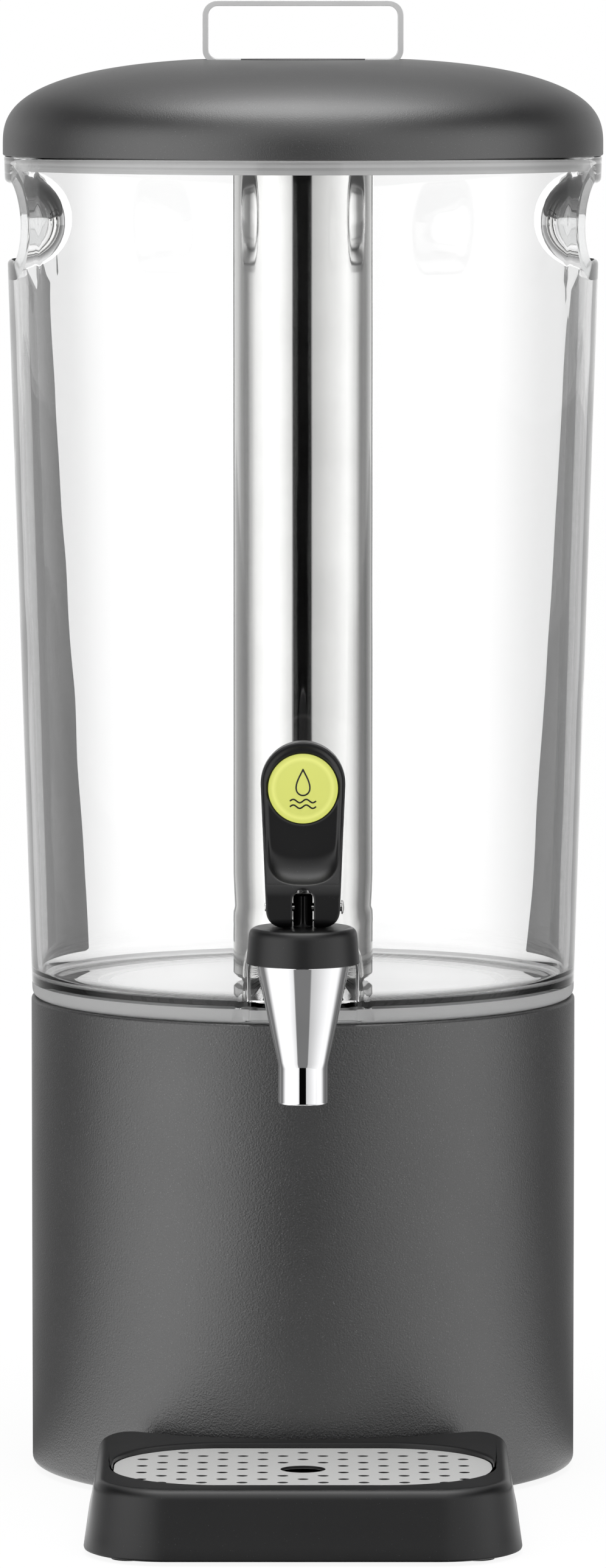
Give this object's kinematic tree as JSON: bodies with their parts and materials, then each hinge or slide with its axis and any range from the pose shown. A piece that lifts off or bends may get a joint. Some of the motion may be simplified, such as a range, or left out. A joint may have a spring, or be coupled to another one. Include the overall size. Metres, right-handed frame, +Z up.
{
  "type": "juice dispenser",
  "caption": "Counter-top juice dispenser: round textured base, clear tapered container with side grips, domed lid with strip handle, steel ice tube, lever tap, and drip tray with grid.",
  "frame": {"origin": "centre of the foot ring's resting face, where the base's axis meets the counter", "axes": "+Z up along the base's axis, -Y to the front where the tap and the drip tray are, +X to the right as seen from the front"},
  "size_m": [0.2206, 0.3323, 0.5415],
  "materials": {
    "base_plastic": "dark grey, leathery texture with pale specks",
    "lid_plastic": "dark grey, fine texture with pale specks",
    "black_plastic": "black satin",
    "gloss_black": "black gloss",
    "clear_plastic": "clear, polished",
    "silicone": "translucent silicone",
    "rubber": "matt",
    "steel": "brushed stainless steel",
    "grid_steel": "pale brushed stainless steel",
    "polished_steel": "mirror-polished stainless steel",
    "chrome": "bright chrome plate",
    "lime_plastic": "lime, domed clear coat"
  },
  "bodies": {
    "base": {"base_shell": "base_plastic", "base_plate": "black_plastic", "base_screws": "steel", "foot_ring": "rubber"},
    "container": {"container": "clear_plastic", "tap_body": "chrome", "tap_bonnet": "black_plastic", "outer_washer": "silicone", "inner_washer": "silicone", "shank_nut": "black_plastic"},
    "lid": {"lid_shell": "lid_plastic", "lid_liner": "black_plastic", "lid_gasket": "silicone", "lid_handle": "steel", "handle_screws": "steel"},
    "ice_tube": {"ice_tube": "polished_steel", "tube_collar": "black_plastic"},
    "stem": {"valve_stem": "gloss_black", "seat_cup": "silicone", "return_spring": "steel", "pivot_pin": "chrome"},
    "lever": {"tap_lever": "black_plastic", "lever_badge": "lime_plastic"},
    "tray": {"drip_tray": "black_plastic", "tray_feet": "rubber"},
    "grid": {"drip_grid": "grid_steel"}
  },
  "joints": [
    {"name": "container_lift", "type": "slide", "parent": "base", "child": "container", "axis": [0, 0, 1], "range_m": [0, 0.15]},
    {"name": "lid_lift", "type": "slide", "parent": "container", "child": "lid", "axis": [0, 0, 1], "range_m": [0, 0.33]},
    {"name": "tube_twist", "type": "hinge", "parent": "lid", "child": "ice_tube", "pos_m": [0, 0, 0.4885], "axis": [0, 0, 1], "range_deg": [0, 90]},
    {"name": "stem_lift", "type": "slide", "parent": "container", "child": "stem", "axis": [0, 0, 1], "range_m": [0, 0.004], "deforming": ["return_spring"]},
    {"name": "lever_tilt", "type": "hinge", "parent": "stem", "child": "lever", "pos_m": [0, -0.142, 0.222], "axis": [1, 0, 0], "range_deg": [0, 40], "stiffness_Nm_per_rad": 0.06, "springref_deg": -34.38},
    {"name": "tray_pull", "type": "slide", "parent": "base", "child": "tray", "axis": [0, -1, 0], "range_m": [0, 0.15]},
    {"name": "grid_lift", "type": "slide", "parent": "tray", "child": "grid", "axis": [0, 0, 1], "range_m": [0, 0.06]}
  ],
  "couplings": [
    {"joint": "stem_lift", "follows": "lever_tilt", "m_per_rad": 0.005729}
  ]
}
